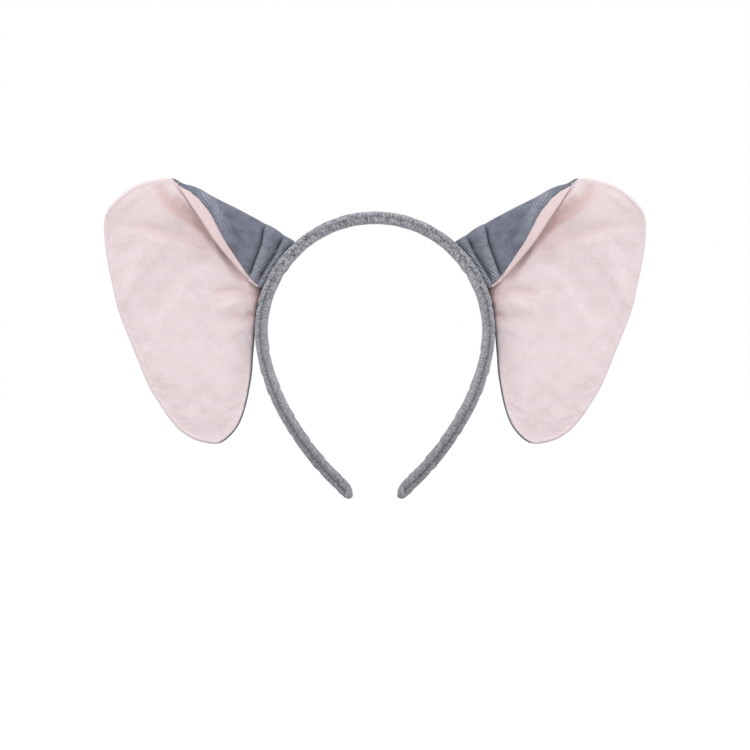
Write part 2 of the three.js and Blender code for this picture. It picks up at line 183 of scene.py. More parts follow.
# The studio: the surround's share of light, each lamp's place, size and watts, in metres, and the
# camera's view, in mm.
AMBIENT = 0.6
LAMPS = {
    "key": ((0, -1.5, 0.75), 0.9, 14.2),
    "top": ((0, 0.15, 1.3), 0.8, 5.0),
    "left_fill": ((1.3, -0.35, 0.1), 0.9, 6.0),
    "right_fill": ((-1.3, -0.35, 0.1), 0.9, 6.0),
}
VIEW_WIDTH = 412.5
VIEW_CENTRE = -82.9
VIEW_DISTANCE = 1500.0
SENSOR_WIDTH = 36.0


# ---- small helpers
def ease(value, low, high):
    """A smooth step from 0 at low to 1 at high."""
    share = np.clip((np.asarray(value, float) - low) / (high - low), 0, 1)
    return share * share * (3 - 2 * share)


def mix(a, b, share):
    """The value a share of the way from a to b."""
    return a + (b - a) * share


def bell(distance, width):
    """1 on a line, falling smoothly to nothing beside it."""
    return np.exp(-((np.asarray(distance, float) / width) ** 2))


def unit(vectors):
    return vectors / np.linalg.norm(vectors, axis=1)[:, None]


def noise_at(points, scale, seed):
    """Smooth noise from -1 to 1 at points in mm, with lumps of about scale mm."""
    return np.array([noise.noise(Vector(p) / scale + Vector((seed, seed, seed))) for p in points])


def add_object(name, data):
    piece = bpy.data.objects.new(name, data)
    bpy.context.scene.collection.objects.link(piece)
    return piece


def new_object(name, points, faces, uv):
    """A mesh object from points in mm, with its cloth's coordinates in mm too, smoothly shaded."""
    mesh = bpy.data.meshes.new(name)
    mesh.from_pydata((np.asarray(points, float) * MM).tolist(), [], [list(map(int, f)) for f in faces])
    layer = mesh.uv_layers.new(name="cloth")
    corner = np.empty(len(mesh.loops), int)
    mesh.loops.foreach_get("vertex_index", corner)
    layer.data.foreach_set("uv", (np.asarray(uv, float)[corner] * MM).ravel())
    mesh.polygons.foreach_set("use_smooth", [True] * len(mesh.polygons))
    mesh.update()
    return add_object(name, mesh)


def face_outwards(piece):
    """Turns a closed piece's faces outwards."""
    work = bmesh.new()
    work.from_mesh(piece.data)
    bmesh.ops.recalc_face_normals(work, faces=work.faces)
    work.to_mesh(piece.data)
    work.free()


def apply_modifiers(piece):
    ready = piece.evaluated_get(bpy.context.evaluated_depsgraph_get())
    mesh = bpy.data.meshes.new_from_object(ready)
    piece.modifiers.clear()
    piece.data = mesh


# ---- materials
# Each cloth's colours, from dark to light where there are two, and its sheen's tint.
BAND_GREYS = ((0.075, 0.077, 0.092), (0.530, 0.534, 0.575))
EAR_GREYS = ((0.088, 0.094, 0.128), (0.186, 0.197, 0.250))
# Crushed ribs, and a painted highlight on the ridges.
RIB_AND_HIGHLIGHT_GREY = (0.450, 0.468, 0.530)
# Painted shade for the pleats' creases.
CREASE_SHADE_GREY = (0.030, 0.030, 0.042)
VELOUR_SHEEN = (0.86, 0.88, 1.0)
PINKS = ((0.650, 0.531, 0.545), (0.764, 0.662, 0.680))
# Painted shade for the lobe's creases, also used as the flap hem's rosier tint.
CREASE_SHADE_AND_HEM_PINK = (0.660, 0.485, 0.478)
SHADED_PINK = (0.33, 0.165, 0.155)
PLUSH_SHEEN = (1.0, 0.97, 0.97)
# Where the band's look changes: by metres from the top, then by metres from the seam, for painted
# sheen and seam line.
CRUSHED_FADE = (50 * MM, 110 * MM)
COMBED_FADE = (50 * MM, 100 * MM)
SEAM_APPEARS = (60 * MM, 80 * MM)
TIP_DARKENS = (130 * MM, 175 * MM)
SHEEN_FADE = (0.6 * MM, 3.2 * MM)
SEAM_FADE = (0.2 * MM, 0.7 * MM)


def set_inputs(node, values):
    for key, value in values.items():
        node.inputs[key].default_value = value


class Shader:
    """A small builder for one Principled material on the cloth's own coordinates."""

    def __init__(self, name, roughness=0.9):
        self.material = bpy.data.materials.new(name)
        self.material.use_nodes = True
        self.tree = self.material.node_tree
        self.surface = self.tree.nodes["Principled BSDF"]
        self.surface.inputs["Roughness"].default_value = roughness
        self.place = self.tree.nodes.new("ShaderNodeUVMap")
        self.place.uv_map = "cloth"

    def node(self, kind, **inputs):
        made = self.tree.nodes.new(kind)
        set_inputs(made, inputs)
        return made

    def link(self, source, target):
        self.tree.links.new(source, target)

    def stretched(self, x, y, turn=0.0):
        """The cloth's coordinates, scaled by x and y and turned, for grain."""
        mapping = self.node("ShaderNodeMapping", Scale=(x, y, 1), Rotation=(0, 0, math.radians(turn)))
        self.link(self.place.outputs["UV"], mapping.inputs["Vector"])
        return mapping.outputs["Vector"]

    def lumps(self, size, detail=2.0, where=None, roughness=0.5):
        """Noise from 0 to 1 with lumps of about size metres."""
        made = self.node("ShaderNodeTexNoise", Scale=1 / size, Detail=detail, Roughness=roughness)
        self.link(where or self.place.outputs["UV"], made.inputs["Vector"])
        return made.outputs["Fac"]

    def mark(self, name):
        """A number stored at the piece's points."""
        made = self.tree.nodes.new("ShaderNodeAttribute")
        made.attribute_name = name
        return made.outputs["Fac"]

    def remap(self, value, low, high, to_low=0.0, to_high=1.0):
        made = self.node("ShaderNodeMapRange")
        set_inputs(made, {"From Min": low, "From Max": high, "To Min": to_low, "To Max": to_high})
        self.link(value, made.inputs["Value"])
        return made.outputs["Result"]

    def maths(self, operation, a, b):
        made = self.tree.nodes.new("ShaderNodeMath")
        made.operation = operation
        for socket, value in zip(made.inputs, (a, b)):
            if isinstance(value, float):
                socket.default_value = value
            else:
                self.link(value, socket)
        return made.outputs[0]

    def blend(self, share, low, high):
        """A colour between two, each a colour or a socket."""
        made = self.tree.nodes.new("ShaderNodeMix")
        made.data_type = "RGBA"
        self.link(share, made.inputs[0])
        for socket, value in ((made.inputs[6], low), (made.inputs[7], high)):
            if isinstance(value, tuple):
                socket.default_value = (*value, 1)
            else:
                self.link(value, socket)
        return made.outputs[2]

    def bump(self, height, depth, before=None):
        made = self.node("ShaderNodeBump", Distance=depth, Strength=1.0)
        self.link(height, made.inputs["Height"])
        if before:
            self.link(before, made.inputs["Normal"])
        return made.outputs["Normal"]

    def sheen(self, weight, roughness, tint):
        tint = (*tint, 1)
        values = {"Sheen Weight": weight, "Sheen Roughness": roughness, "Sheen Tint": tint}
        set_inputs(self.surface, values)

    def finish(self, colour, normal):
        """The material, once its colour and its surface detail are in place."""
        self.link(colour, self.surface.inputs["Base Color"])
        self.link(normal, self.surface.inputs["Normal"])
        return self.material


def velour_pile(made):
    """Combed grey pile with a sheen: its lightness, 0 to 1, and its bump."""
    pile = made.lumps(0.9 * MM, 2.0, made.stretched(1.0, 0.42, 35))
    normal = made.bump(made.lumps(0.3 * MM, 1.0), 0.10 * MM)
    made.sheen(0.35, 0.35, VELOUR_SHEEN)
    return made.remap(pile, 0.3, 0.7), made.bump(pile, 0.22 * MM, normal)


def band_velour():
    """The band's velour: light and dark crushed patches, most over the crown, with a painted sheen."""
    made = Shader("band_velour", roughness=0.92)
    pile, normal = velour_pile(made)
    patches = made.remap(made.lumps(3.2 * MM, 4.0, made.stretched(1.0, 0.7), 0.7), 0.3, 0.7, -0.5, 0.5)
    pile = made.maths("SUBTRACT", pile, 0.5)
    apart = made.node("ShaderNodeSeparateXYZ")
    made.link(made.place.outputs["UV"], apart.inputs[0])
    length = made.maths("ABSOLUTE", apart.outputs["X"], 0.0)
    from_seam = made.maths("ABSOLUTE", apart.outputs["Y"], 0.0)
    crushed = made.maths("MULTIPLY", patches, made.remap(length, *CRUSHED_FADE, 0.5, 0.22))
    combed = made.maths("MULTIPLY", pile, made.remap(length, *COMBED_FADE, 0.75, 0.36))
    # Painted sheen: darker beside the seam, lighter more than a few mm round from it.
    edges = made.remap(from_seam, *SHEEN_FADE, -0.09, 0.12)
    dip = made.remap(from_seam, *SEAM_FADE, -0.3, 0.0)
    seam = made.maths("MULTIPLY", dip, made.remap(length, *SEAM_APPEARS))
    shade = made.remap(length, *TIP_DARKENS, 0.38, 0.27)
    for part in (crushed, combed, edges, seam):
        shade = made.maths("ADD", shade, part)
    return made.finish(made.blend(shade, *BAND_GREYS), normal)


def ear_velour():
    """Smoother, bluer ear velour: crushed ribs and painted highlight on ridges, painted shade in
    creases.
    """
    made = Shader("ear_velour", roughness=0.92)
    pile, normal = velour_pile(made)
    patches = made.remap(made.lumps(5.0 * MM, 3.0, made.stretched(0.6, 1.0), 0.6), 0.32, 0.68)
    shade = made.maths("ADD", made.maths("MULTIPLY", patches, 0.6), made.maths("MULTIPLY", pile, 0.4))
    wander = made.remap(made.lumps(2.5 * MM, 1.0), 0.0, 1.0, -1.5, 1.5)
    phase = made.maths("ADD", made.maths("MULTIPLY", made.mark("rib_turns"), math.tau), wander)
    wave = made.remap(made.maths("SINE", phase, 0.0), -0.5, 1.0)
    breaks = made.remap(made.lumps(1.8 * MM, 1.0, made.stretched(0.5, 1.0)), 0.36, 0.58, 0.15, 0.85)
    ribs = made.maths("MULTIPLY", made.maths("MULTIPLY", wave, made.mark("ribs_and_ridge_highlight")), breaks)
    colour = made.blend(shade, *EAR_GREYS)
    # The crushed ribs are lighter, and a painted highlight lightens the whole ridge a little as well.
    ribs_and_highlight = made.maths("ADD", ribs, made.maths("MULTIPLY", made.mark("ribs_and_ridge_highlight"), 0.14))
    colour = made.blend(ribs_and_highlight, colour, RIB_AND_HIGHLIGHT_GREY)
    # Painted shade: the velour turns almost black along the pleats' creases.
    colour = made.blend(made.mark("pleat_crease_shade"), colour, CREASE_SHADE_GREY)
    return made.finish(colour, made.bump(ribs, 0.35 * MM, normal))


def plush():
    """Pale pink plush: fine even nap, faint clouds where stroked, painted shade in folds and by the
    band, rosier hem.
    """
    made = Shader("pink_plush", roughness=0.95)
    clouds = made.lumps(9 * MM, 3.0)
    nap = made.lumps(0.8 * MM, 2.0, made.stretched(1.0, 0.6, -20))
    fibres = made.lumps(0.32 * MM, 1.0)
    shade = made.maths("ADD", made.remap(clouds, 0.3, 0.7, 0, 0.5), made.remap(nap, 0.3, 0.7, 0, 0.5))
    colour = made.blend(shade, *PINKS)
    # Painted shade: the plush turns darker and redder along the lobe's creases; the flap's hem gets a
    # rosier tint.
    colour = made.blend(made.mark("crease_shade_and_hem_tint"), colour, CREASE_SHADE_AND_HEM_PINK)
    colour = made.blend(made.mark("shaded"), colour, SHADED_PINK)
    made.sheen(0.6, 0.4, PLUSH_SHEEN)
    return made.finish(colour, made.bump(nap, 0.14 * MM, made.bump(fibres, 0.07 * MM)))


def plain(name, dark, light, roughness, lump):
    """A material between two close colours, for the pieces inside and the threads."""
    made = Shader(name, roughness)
    colour = made.blend(made.lumps(lump, 3.0), dark, light)
    return made.finish(colour, made.bump(made.lumps(lump / 3, 2.0), 0.05 * MM))


BAND_VELOUR = band_velour()
EAR_VELOUR = ear_velour()
PINK_PLUSH = plush()
WADDING = plain("wadding_fibre", (0.80, 0.80, 0.77), (0.92, 0.92, 0.90), 1.0, 3 * MM)
FOAM = plain("foam_strip", (0.62, 0.62, 0.58), (0.74, 0.74, 0.70), 0.95, 1 * MM)
CORE = plain("core_plastic", (0.02, 0.02, 0.024), (0.03, 0.03, 0.034), 0.45, 4 * MM)
THREAD = plain("sewing_thread", (0.22, 0.225, 0.245), (0.30, 0.305, 0.33), 0.8, 0.4 * MM)


# ---- the band's path
ARCS = [(radius, math.radians(degrees)) for radius, degrees in HOOP]
CROWN_LENGTH = ARCS[0][0] * ARCS[0][1]
HALF_LENGTH = sum(radius * turn for radius, turn in ARCS)


def hoop_at(length):
    """The centre line's x and z and its turn, at lengths from the top, on the +X side."""
    length = np.asarray(length, float)
    x = np.zeros_like(length)
    z = np.full_like(length, CENTRE_RADIUS - INNER_RADIUS)
    turned = np.zeros_like(length)
    begun = 0.0
    for radius, turn in ARCS:
        run = np.clip(length - begun, 0, radius * turn)
        after = turned + run / radius
        x = x + radius * (np.sin(after) - np.sin(turned))
        z = z + radius * (np.cos(after) - np.cos(turned))
        turned = after
        begun += radius * turn
    return x, z, turned


def thickness_at(length):
    """The band's thickness, which grows a little from the top to the tips."""
    to_side = mix(CROWN_THICKNESS, SIDE_THICKNESS, ease(length, 0, 0.9 * CROWN_LENGTH))
    return mix(to_side, LOWER_THICKNESS, ease(length, 0.9 * CROWN_LENGTH, HALF_LENGTH))


def band_point(length, outward, across, side):
    """Points by length from the top, height off the centre line, and place in the band's width."""
    x, z, turned = hoop_at(length)
    return np.stack(
        [side * (x + outward * np.sin(turned)), across + 0 * x, z + outward * np.cos(turned)], axis=-1
    )


def arc_points(centre, radius, start, stop, count):
    """Points round a quarter or so of a circle, in (outward, across), by degrees from +across."""
    angles = np.radians(np.linspace(start, stop, count))
    return [(centre[0] + radius * math.sin(a), centre[1] + radius * math.cos(a)) for a in angles]


def mirrored(points):
    """A section's points on its other rim, in the order that carries the loop on."""
    return [(up, -across) for up, across in reversed(points)]


def channel_section(thickness, lip):
    """A fabric channel that opens downwards, as (up, across) points, with turned lips at up = lip.

    Returns the closed loop, and how many of its first points are the outer skin.
    """
    half = BAND_WIDTH / 2
    corner = (thickness / 2 - RIM_RADIUS, half - RIM_RADIUS)
    edge = arc_points((lip + LIP_RADIUS, half - LIP_RADIUS), LIP_RADIUS, -180, 0, LIP_STEPS)
    edge += arc_points(corner, RIM_RADIUS, 0, 90, 9)
    flat = np.linspace(corner[1], -corner[1], 9)[1:-1]
    skin = edge + [(thickness / 2, across) for across in flat] + mirrored(edge)
    bend = arc_points(corner, RIM_RADIUS - CLOTH, 90, 0, 4)
    return np.array(skin + mirrored(bend) + bend), len(skin)


def block_section(low, high, width, radius):
    """A rectangle with rounded corners, as (up, across) points."""
    half = width / 2 - radius
    top = high - radius
    bottom = low + radius
    points = []
    for i, corner in enumerate([(top, half), (top, -half), (bottom, -half), (bottom, half)]):
        points += arc_points(corner, radius, 90 * i, 90 * i + 90, 4)
    return np.array(points)


def outward_normals(section):
    """Unit normals of a loop, at its points."""
    tangent = np.roll(section, -1, axis=0) - np.roll(section, 1, axis=0)
    return unit(np.stack([-tangent[:, 1], tangent[:, 0]], axis=1))


def perimeter(section):
    """How far round a loop each of its points lies."""
    steps = np.linalg.norm(np.roll(section, -1, axis=0) - section, axis=1)
    return np.concatenate([[0], np.cumsum(steps)[:-1]])


def tube_faces(count, rings, base=0):
    """The faces of a tube through rings of count points each, with its two flat ends last."""
    faces = []
    for ring in range(rings - 1):
        for i in range(count):
            a = base + ring * count + i
            b = base + ring * count + (i + 1) % count
            faces.append((a, b, b + count, a + count))
    last = base + (rings - 1) * count
    faces.append(tuple(base + i for i in reversed(range(count))))
    faces.append(tuple(last + i for i in range(count)))
    return faces


def sweep(name, rings, uv_rings):
    """A closed piece through rings of points, all of one count, with flat ends."""
    faces = tube_faces(len(rings[0]), len(rings))
    piece = new_object(name, np.concatenate(rings), faces, np.concatenate(uv_rings))
    face_outwards(piece)
    mark_sharp_ends(piece)
    return piece


def mark_sharp_ends(piece):
    """Keeps a tube's two ends flat, so they don't bend the shading of the walls round them."""
    mesh = piece.data
    rims = set()
    for polygon in list(mesh.polygons)[-2:]:
        polygon.use_smooth = False
        rims.update(polygon.edge_keys)
    for edge in mesh.edges:
        edge.use_edge_sharp = edge.key in rims


def cap_line(up, thickness):
    """The length at which the turned end begins, at a height in the band's thickness."""
    share = ease(up, -thickness / 2, thickness / 2)
    return HALF_LENGTH - mix(CAP_INNER_LENGTH, CAP_OUTER_LENGTH, share)


LUMPS = [(0.2, 7.0, 3.1), (0.1, 2.4, 12.1)]  # height, size and seed
GROOVE_DEPTH = 0.3
GROOVE_WIDTH = 0.4
GROOVE_FADE = (75, 45)  # from the tip
# Where the wrapped velour is drawn in across a rim: mm from the tip, and which face, out or in.
# Each is a narrow dimple that leans a little, with a broad swell beside it, and fades in with
# the height off the centre line.
PUCKER_LEAN = 0.5
PUCKER_FADE = (0.6, 3.0)
DIMPLE = (0.42, 1.1)  # depth and width
SWELL = (0.22, 2.4)
SWELL_STEP = 3.0
PUCKERS = [
    (13, -1), (21, 1), (26.5, -1), (39.7, -1), (44.6, 1), (55.6, -1), (69, 1), (74, -1), (80, 1),
    (96, -1), (118, 1), (143, -1),
]


def lumpiness(lengths, ups, across):
    """How far hand-wrapped velour stands proud, in mm: broad lumps, small dimples and puckers."""
    places = np.stack([lengths, ups, across], axis=-1)
    proud = sum(height * noise_at(places, size, seed) for height, size, seed in LUMPS)
    for from_tip, face in PUCKERS:
        along = lengths - (HALF_LENGTH - from_tip) + PUCKER_LEAN * ups
        fade = ease(face * ups, *PUCKER_FADE)
        proud = proud - DIMPLE[0] * bell(along, DIMPLE[1]) * fade
        proud = proud + SWELL[0] * bell(along + SWELL_STEP, SWELL[1]) * fade
    low_down = ease(lengths, *(HALF_LENGTH - from_tip for from_tip in GROOVE_FADE))
    return proud - GROOVE_DEPTH * low_down * bell(ups - EDGE_GROOVE, GROOVE_WIDTH)


def channel_ring(length_share, thickness, sign, side):
    """One ring of the cover, sign 1, or the lining, sign -1, and its cloth coordinates."""
    section, skin = channel_section(thickness, sign * SEAM_OFFSET + SEAM_GAP)
    ups = sign * section[:, 0]
    lengths = length_share * (cap_line(ups, thickness) - 0.05)
    normals = outward_normals(section)
    normals[:LIP_STEPS] = (0, 1)
    normals[skin - LIP_STEPS : skin] = (0, -1)
    proud = lumpiness(lengths[:skin], ups[:skin], section[:skin, 1])
    section[:skin] += normals[:skin] * proud[:, None]
    ups = sign * section[:, 0]
    around = perimeter(section)
    ring = band_point(lengths, ups * tip_share(lengths, ups), section[:, 1], side)
    return ring, np.stack([side * lengths, sign * (around[skin - 1] - around)], axis=1)


def fabric_channel(name, side, sign):
    """The outer cover, sign 1, or the inner lining, sign -1, of one half of the band."""
    rings = []
    for share in np.linspace(0, 1, BAND_RINGS):
        rings.append(channel_ring(share, float(thickness_at(share * HALF_LENGTH)), sign, side))
    return sweep(name, *zip(*rings))


def strip(name, side, low, high, radius):
    """The core or the foam of one half of the band, at heights low to high in its thickness."""
    section = block_section(low, high, LAYER_WIDTH, radius)
    around = perimeter(section)
    rings = []
    for length in np.linspace(0, HALF_LENGTH - CAP_INNER_LENGTH - LAYER_END, STRIP_RINGS):
        lengths = np.full(len(section), length)
        ring = band_point(lengths, section[:, 0], section[:, 1], side)
        rings.append((ring, np.stack([side * lengths, around], axis=1)))
    return sweep(name, *zip(*rings))


def tip_share(lengths, ups):
    """How much of its height in the band's thickness a point keeps, near the tip."""
    to_end = np.clip(lengths - HALF_LENGTH, -30, 0)
    outer = np.interp(to_end, *np.transpose(TIP_OUTER))
    inner = np.interp(to_end, *np.transpose(TIP_INNER))
    return np.where(ups > 0, outer, inner)


def tip_ring(section, lengths, width, side):
    """One ring of the turned end: the section's points at their own lengths."""
    ups = 1.03 * section[:, 0] * tip_share(lengths, section[:, 0])
    ring = band_point(lengths, ups, section[:, 1] * width, side)
    return ring, np.stack([side * lengths, -perimeter(section)], axis=1)


def tip_cap(name, side):
    """The cover's end, turned over the tip: a rounded corner outside and a long taper inside."""
    corners = block_section(-LOWER_THICKNESS / 2, LOWER_THICKNESS / 2, BAND_WIDTH, RIM_RADIUS)
    section = even_spacing(corners[:, ::-1], 0.8)[:, ::-1]
    starts = cap_line(section[:, 0], LOWER_THICKNESS)
    rings = [tip_ring(section, starts + 0.15, 0.94, side)]
    for angle in np.radians(np.linspace(0, 90, CAP_RINGS)):
        reach = math.sin(angle)
        round_off = (max(0.0, reach - CAP_STRAIGHT) / (1 - CAP_STRAIGHT)) ** 2
        width = mix(1.01, CAP_END_WIDTH, round_off)
        rings.append(tip_ring(section, mix(starts, HALF_LENGTH, reach), width, side))
    return sweep(name, *zip(*rings))


def strands(name, paths, radius, side_count=6):
    """Short threads as one mesh: a round-ended tube along each path of points."""
    points = []
    faces = []
    for path in paths:
        along = unit(np.gradient(path, axis=0))
        across = unit(np.cross(along, (0.3, 0.5, 0.81)))
        other = np.cross(along, across)
        faces += tube_faces(side_count, len(path), len(points))
        for i, place in enumerate(path):
            size = radius * (0.45 if i in (0, len(path) - 1) else 1.0)
            for k in range(side_count):
                turn = 2 * math.pi * k / side_count
                points.append(place + size * (math.cos(turn) * across[i] + math.sin(turn) * other[i]))
    points = np.array(points)
    piece = new_object(name, points, faces, points[:, [0, 2]])
    face_outwards(piece)
    return piece


def uneven(number, middle, swing, step):
    """A hand-made stitch's slant, which differs a little from one stitch to the next."""
    return middle + swing * math.sin(step * number)


def rim_stitches(name, side):
    """Slip stitches that close the seam along both rims."""
    paths = []
    along, ups, sunk = np.transpose(RIM_STITCH)
    for rim in (-1, 1):
        for i, length in enumerate(np.arange(FIRST_STITCH, HALF_LENGTH - LAST_STITCH, STITCH_STEP)):
            slant = uneven(i, *RIM_SLANT)
            across = rim * (BAND_WIDTH / 2 - sunk)
            paths.append(band_point(length + slant * along, SEAM_OFFSET + ups, across, side))
    return strands(name, paths, RIM_THREAD)


# ---- the ears' sheet
FOLD_DOWN = math.radians(FOLD_RISE)
HOOP_S = FOLD_START_X * math.cos(FOLD_DOWN) + (FOLD_START_Z + INNER_RADIUS) * math.sin(FOLD_DOWN)
HOOP_Q = (FOLD_START_Z + INNER_RADIUS) * math.cos(FOLD_DOWN) - FOLD_START_X * math.sin(FOLD_DOWN)


def base_edge(t):
    """The s of the ear's sewn edge, which follows the band, at t on the sheet."""
    return HOOP_S - np.sqrt(BASE_DISTANCE**2 - (np.abs(t) - HOOP_Q) ** 2)


def inner_edge(t):
    """The lobe's edge on the band's side: the sewn base, then the free edge below it."""
    below = np.interp(t, [place[1] for place in INNER_EDGE], [place[0] for place in INNER_EDGE])
    return np.where(t < BASE_BOTTOM, base_edge(np.clip(t, 0, BASE_BOTTOM)), below)


def smooth_curve(points, per_span=12):
    """A Catmull-Rom curve through points."""
    points = np.asarray(points, float)
    ends = np.concatenate([[2 * points[0] - points[1]], points, [2 * points[-1] - points[-2]]])
    made = []
    for a, b, c, d in zip(ends[:-3], ends[1:-2], ends[2:-1], ends[3:]):
        for u in np.arange(per_span) / per_span:
            made.append(0.5 * (2 * b + (c - a) * u + (2 * a - 5 * b + 4 * c - d) * u**2
                               + (3 * b - a - 3 * c + d) * u**3))
    return np.array(made + [points[-1]])


def even_spacing(loop, spacing):
    """A closed loop's points, moved to an even spacing."""
    closed = np.concatenate([loop, loop[:1]])
    lengths = np.concatenate([[0], np.cumsum(np.linalg.norm(np.diff(closed, axis=0), axis=1))])
    count = int(round(lengths[-1] / spacing))
    stops = np.linspace(0, lengths[-1], count, endpoint=False)
    return np.stack([np.interp(stops, lengths, closed[:, k]) for k in (0, 1)], axis=1)


def ear_outline(spacing):
    """The ear's outline as an evenly spaced loop: its free edge, then its sewn one."""
    free = smooth_curve(OUTLINE)
    t = np.linspace(BASE_BOTTOM - 2, 1 - FLAP_REACH, 60)
    return even_spacing(np.concatenate([free, np.stack([base_edge(t), t], axis=1)]), spacing)


def nearest(points, starts, ends):
    """Each point's distance to the nearest segment, which one it is, and how far along, 0 to 1."""
    best = np.full(len(points), np.inf)
    index = np.zeros(len(points), int)
    along = np.zeros(len(points))
    for k, (start, run) in enumerate(zip(starts, ends - starts)):
        share = np.clip(((points - start) @ run) / (run @ run), 0, 1)
        away = np.linalg.norm(points - start - share[:, None] * run, axis=1)
        closer = away < best
        best[closer] = away[closer]
        index[closer] = k
        along[closer] = share[closer]
    return best, index, along


def to_loop(points, loop):
    """Each point's distance to a closed loop, and the index of the loop's nearest segment."""
    return nearest(points, loop, np.roll(loop, -1, axis=0))[:2]


def line_distance(s, q, line):
    """Distance from points to an open line, and how far along it the nearest place is, 0 to 1."""
    line = np.asarray(line, float)
    away, index, along = nearest(np.stack([s, q], axis=1), line[:-1], line[1:])
    return away, (index + along) / (len(line) - 1)


def inside(points, loop):
    """Which points are inside a closed loop, by counting crossings."""
    result = np.zeros(len(points), bool)
    for (x1, y1), (x2, y2) in zip(loop, np.roll(loop, -1, axis=0)):
        spans = (y1 > points[:, 1]) != (y2 > points[:, 1])
        with np.errstate(divide="ignore", invalid="ignore"):
            cross = x1 + (points[:, 1] - y1) * (x2 - x1) / (y2 - y1)
        result ^= spans & (points[:, 0] < cross)
    return result


def seam_depths(outline):
    """How far in from each outline point the seam lies: on the ear's grey back where positive."""
    s, t = outline.T
    beside_band = np.interp(
        t, [BASE_BOTTOM, 64, 118, 121], [BASE_HEM, INNER_HEM, INNER_HEM, SEAM_INSET]
    )
    depth = np.where(s < PINK_SPAN, SEAM_INSET, beside_band)
    on_flap = (s < PINK_SPAN + 1) & (t < 5.8)
    depth = np.where(on_flap, np.interp(s, *np.transpose(HEM)), depth)
    on_base = (np.abs(s - base_edge(np.clip(t, -FLAP_REACH, BASE_BOTTOM))) < 0.4) & (t < BASE_BOTTOM)
    return np.where(on_base, BASE_HEM, depth)


def hex_points(low, high, spacing):
    """Points that fill a rectangle, with every second row half a step along."""
    made = []
    for i, y in enumerate(np.arange(low[1], high[1], spacing * math.sqrt(3) / 2)):
        start = low[0] + (i % 2) * spacing / 2
        made += [(x, y) for x in np.arange(start, high[0], spacing)]
    return np.array(made)


def crease_lines():
    """The two pleats' creases on the flap, in (s, t), from the fold to its free edge."""
    t = np.linspace(0.0, -FLAP_REACH, 30)
    return [np.stack([crease_at(crease, t), t], axis=1) for crease in CREASES]


def crease_at(crease, t):
    """The s of a crease at t on the sheet."""
    return np.interp(-t, *np.transpose(crease))


# The flat sheet's mesh: the spacing round its edge, the rings just inside it, and what fills the
# rest: two corners of a rectangle and a spacing, for the flap, the lobe and the outer corner.
RIM_SPACING = 1.5
RIM_RINGS = (0.25, 0.75, 1.5, 2.4, 3.3)
FILL_INSET = 4.1
CREASE_STEP = 0.7
CREASE_CLEARANCE = 0.6
SEAM_CLEARANCE = 0.3
FILL_AREAS = [
    ((-5, -36), (70, 12), 1.35),
    ((-36, 12), (88, 126), 1.9),
    ((-36, -2), (-5, 12), 1.6),
]


def rim_points(outline, inwards):
    """Rings of points just inside the outline, without those where a ring folds over itself."""
    rings = []
    for reach in RIM_RINGS:
        ring = outline + inwards * reach
        away, _ = to_loop(ring, outline)
        rings.append(ring[away > 0.93 * reach])
    return np.concatenate(rings)


def fill_points(outline):
    """The points further in: three close lines along each crease, and hexagons elsewhere."""
    creases = [line + (side * CREASE_STEP, 0) for line in crease_lines() for side in (-1, 0, 1)]
    creases = np.concatenate(creases)
    points = np.concatenate([creases] + [hex_points(*area) for area in FILL_AREAS])
    away, _ = to_loop(points, outline)
    points = points[inside(points, outline) & (away > FILL_INSET)]
    near = np.array([np.linalg.norm(creases - point, axis=1).min() for point in points])
    return points[(near < 1e-6) | (near > CREASE_CLEARANCE)]


def flat_ear():
    """The ear's sheet, flat: its outline, its seam line, and its points and triangles."""
    outline = ear_outline(RIM_SPACING)
    inwards = -outward_normals(outline)
    if not inside(outline[:1] + inwards[:1], outline)[0]:
        inwards = -inwards
    seam = outline + inwards * np.abs(seam_depths(outline))[:, None]
    loose = np.concatenate([rim_points(outline, inwards), fill_points(outline)])
    away, _ = to_loop(loose, seam)
    loose = loose[away > SEAM_CLEARANCE]
    count = len(outline)
    points = np.concatenate([outline, seam, loose])
    edges = [(k, (k + 1) % count) for k in range(count)]
    edges += [(count + k, count + (k + 1) % count) for k in range(count)]
    found, _, triangles, *_ = delaunay_2d_cdt([Vector(p) for p in points], edges, [], 0, 1e-5)
    points = np.array([tuple(p) for p in found])
    triangles = np.array([tuple(f) for f in triangles])
    middle = points[triangles].mean(axis=1)
    triangles = triangles[inside(middle, outline)]
    return outline, seam, points, triangles


